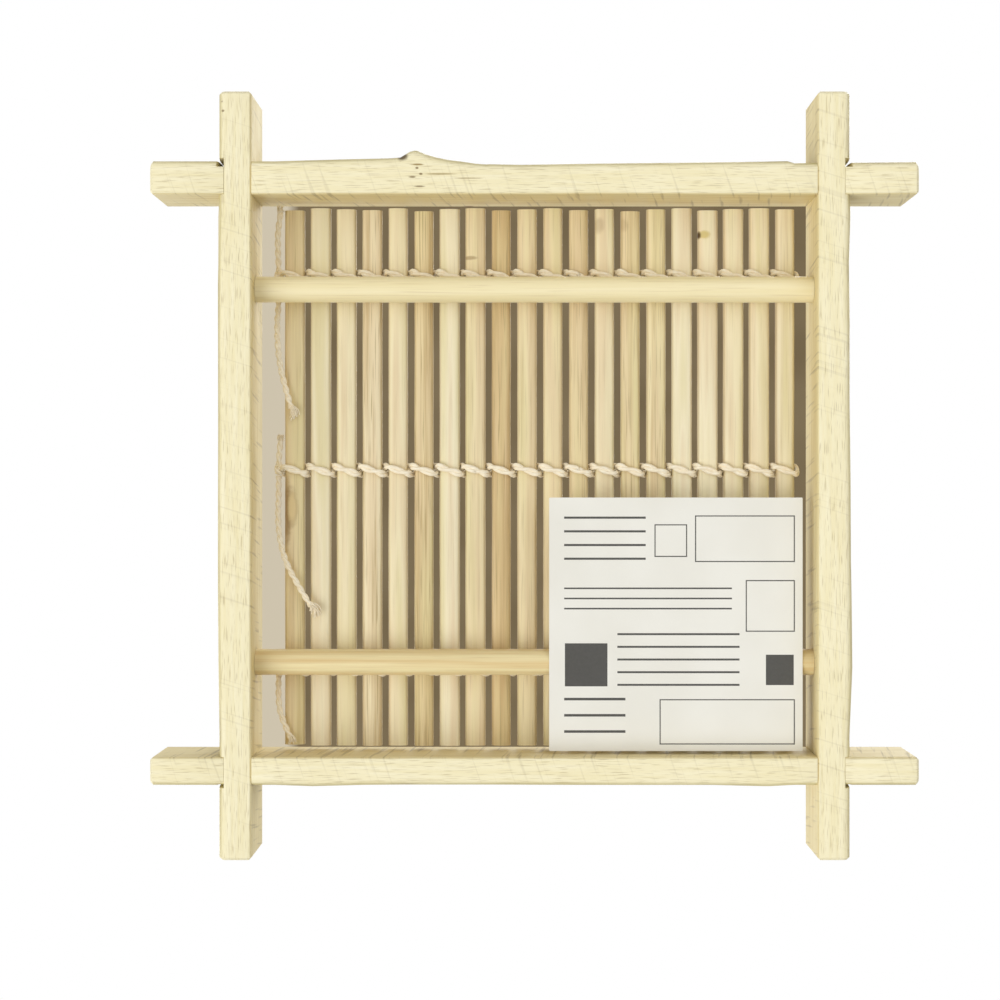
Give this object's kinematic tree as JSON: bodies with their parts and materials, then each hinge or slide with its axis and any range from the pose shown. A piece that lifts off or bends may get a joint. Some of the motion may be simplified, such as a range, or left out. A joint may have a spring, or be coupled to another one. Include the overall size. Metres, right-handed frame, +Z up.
{
  "type": "sushi serving tray",
  "caption": "Small bamboo serving tray: cross-lapped split bamboo bars, two round rods, and a loose twined mat of bamboo slats that lifts out and rolls up.",
  "frame": {"origin": "Middle of the footprint, on the surface that the tray stands on.", "axes": "+Z up, +X along the front and back bars to the right, +Y along the side bars and the slats to the back. The picture looks up along +Z, from below."},
  "size_m": [0.18, 0.18, 0.02],
  "materials": {
    "split_bamboo": "satin",
    "rod_bamboo": "satin",
    "slat_bamboo": "satin",
    "twine": "matt",
    "label_paper": "matt"
  },
  "bodies": {
    "frame": {"left_bar": "split_bamboo", "right_bar": "split_bamboo", "front_bar": "split_bamboo", "back_bar": "split_bamboo", "front_rod": "rod_bamboo", "back_rod": "rod_bamboo", "paper_label": "label_paper"},
    "mat_01": {"slat_01": "slat_bamboo", "front_tail": "twine", "middle_tail": "twine"},
    "mat_02": {"slat_02": "slat_bamboo"},
    "mat_03": {"slat_03": "slat_bamboo"},
    "mat_04": {"slat_04": "slat_bamboo"},
    "mat_05": {"slat_05": "slat_bamboo"},
    "mat_06": {"slat_06": "slat_bamboo"},
    "mat_07": {"slat_07": "slat_bamboo"},
    "mat_08": {"slat_08": "slat_bamboo"},
    "mat_09": {"slat_09": "slat_bamboo"},
    "mat_10": {"slat_10": "slat_bamboo", "front_twine": "twine", "middle_twine": "twine", "back_twine": "twine"},
    "mat_11": {"slat_11": "slat_bamboo"},
    "mat_12": {"slat_12": "slat_bamboo"},
    "mat_13": {"slat_13": "slat_bamboo"},
    "mat_14": {"slat_14": "slat_bamboo"},
    "mat_15": {"slat_15": "slat_bamboo"},
    "mat_16": {"slat_16": "slat_bamboo"},
    "mat_17": {"slat_17": "slat_bamboo"},
    "mat_18": {"slat_18": "slat_bamboo"},
    "mat_19": {"slat_19": "slat_bamboo"},
    "mat_20": {"slat_20": "slat_bamboo"}
  },
  "joints": [
    {"name": "mat_lift", "type": "slide", "parent": "frame", "child": "mat_10", "axis": [0, 0, 1], "range_m": [0, 0.03]},
    {"name": "mat_roll", "type": "hinge", "parent": "mat_10", "child": "mat_11", "pos_m": [0.0014, 0, 0.0148], "axis": [0, -1, 0], "range_deg": [0, 17], "deforming": ["front_twine", "middle_twine", "back_twine"]},
    {"name": "roll_12", "type": "hinge", "parent": "mat_11", "child": "mat_12", "pos_m": [0.00762, 0, 0.0148], "axis": [0, -1, 0], "range_deg": [0, 17]},
    {"name": "roll_13", "type": "hinge", "parent": "mat_12", "child": "mat_13", "pos_m": [0.01384, 0, 0.0148], "axis": [0, -1, 0], "range_deg": [0, 17]},
    {"name": "roll_14", "type": "hinge", "parent": "mat_13", "child": "mat_14", "pos_m": [0.02006, 0, 0.0148], "axis": [0, -1, 0], "range_deg": [0, 17]},
    {"name": "roll_15", "type": "hinge", "parent": "mat_14", "child": "mat_15", "pos_m": [0.02628, 0, 0.0148], "axis": [0, -1, 0], "range_deg": [0, 17]},
    {"name": "roll_16", "type": "hinge", "parent": "mat_15", "child": "mat_16", "pos_m": [0.0325, 0, 0.0148], "axis": [0, -1, 0], "range_deg": [0, 17]},
    {"name": "roll_17", "type": "hinge", "parent": "mat_16", "child": "mat_17", "pos_m": [0.03872, 0, 0.0148], "axis": [0, -1, 0], "range_deg": [0, 17]},
    {"name": "roll_18", "type": "hinge", "parent": "mat_17", "child": "mat_18", "pos_m": [0.04494, 0, 0.0148], "axis": [0, -1, 0], "range_deg": [0, 17]},
    {"name": "roll_19", "type": "hinge", "parent": "mat_18", "child": "mat_19", "pos_m": [0.05116, 0, 0.0148], "axis": [0, -1, 0], "range_deg": [0, 17]},
    {"name": "roll_20", "type": "hinge", "parent": "mat_19", "child": "mat_20", "pos_m": [0.05738, 0, 0.0148], "axis": [0, -1, 0], "range_deg": [0, 17]},
    {"name": "roll_09", "type": "hinge", "parent": "mat_10", "child": "mat_09", "pos_m": [-0.00482, 0, 0.0148], "axis": [0, 1, 0], "range_deg": [0, 17]},
    {"name": "roll_08", "type": "hinge", "parent": "mat_09", "child": "mat_08", "pos_m": [-0.01104, 0, 0.0148], "axis": [0, 1, 0], "range_deg": [0, 17]},
    {"name": "roll_07", "type": "hinge", "parent": "mat_08", "child": "mat_07", "pos_m": [-0.01726, 0, 0.0148], "axis": [0, 1, 0], "range_deg": [0, 17]},
    {"name": "roll_06", "type": "hinge", "parent": "mat_07", "child": "mat_06", "pos_m": [-0.02348, 0, 0.0148], "axis": [0, 1, 0], "range_deg": [0, 17]},
    {"name": "roll_05", "type": "hinge", "parent": "mat_06", "child": "mat_05", "pos_m": [-0.0297, 0, 0.0148], "axis": [0, 1, 0], "range_deg": [0, 17]},
    {"name": "roll_04", "type": "hinge", "parent": "mat_05", "child": "mat_04", "pos_m": [-0.03592, 0, 0.0148], "axis": [0, 1, 0], "range_deg": [0, 17]},
    {"name": "roll_03", "type": "hinge", "parent": "mat_04", "child": "mat_03", "pos_m": [-0.04214, 0, 0.0148], "axis": [0, 1, 0], "range_deg": [0, 17]},
    {"name": "roll_02", "type": "hinge", "parent": "mat_03", "child": "mat_02", "pos_m": [-0.04836, 0, 0.0148], "axis": [0, 1, 0], "range_deg": [0, 17]},
    {"name": "roll_01", "type": "hinge", "parent": "mat_02", "child": "mat_01", "pos_m": [-0.05458, 0, 0.0148], "axis": [0, 1, 0], "range_deg": [0, 17]}
  ],
  "couplings": [
    {"joint": "roll_12", "follows": "mat_roll", "ratio": 1},
    {"joint": "roll_13", "follows": "mat_roll", "ratio": 1},
    {"joint": "roll_14", "follows": "mat_roll", "ratio": 1},
    {"joint": "roll_15", "follows": "mat_roll", "ratio": 1},
    {"joint": "roll_16", "follows": "mat_roll", "ratio": 1},
    {"joint": "roll_17", "follows": "mat_roll", "ratio": 1},
    {"joint": "roll_18", "follows": "mat_roll", "ratio": 1},
    {"joint": "roll_19", "follows": "mat_roll", "ratio": 1},
    {"joint": "roll_20", "follows": "mat_roll", "ratio": 1},
    {"joint": "roll_09", "follows": "mat_roll", "ratio": 1},
    {"joint": "roll_08", "follows": "mat_roll", "ratio": 1},
    {"joint": "roll_07", "follows": "mat_roll", "ratio": 1},
    {"joint": "roll_06", "follows": "mat_roll", "ratio": 1},
    {"joint": "roll_05", "follows": "mat_roll", "ratio": 1},
    {"joint": "roll_04", "follows": "mat_roll", "ratio": 1},
    {"joint": "roll_03", "follows": "mat_roll", "ratio": 1},
    {"joint": "roll_02", "follows": "mat_roll", "ratio": 1},
    {"joint": "roll_01", "follows": "mat_roll", "ratio": 1}
  ]
}
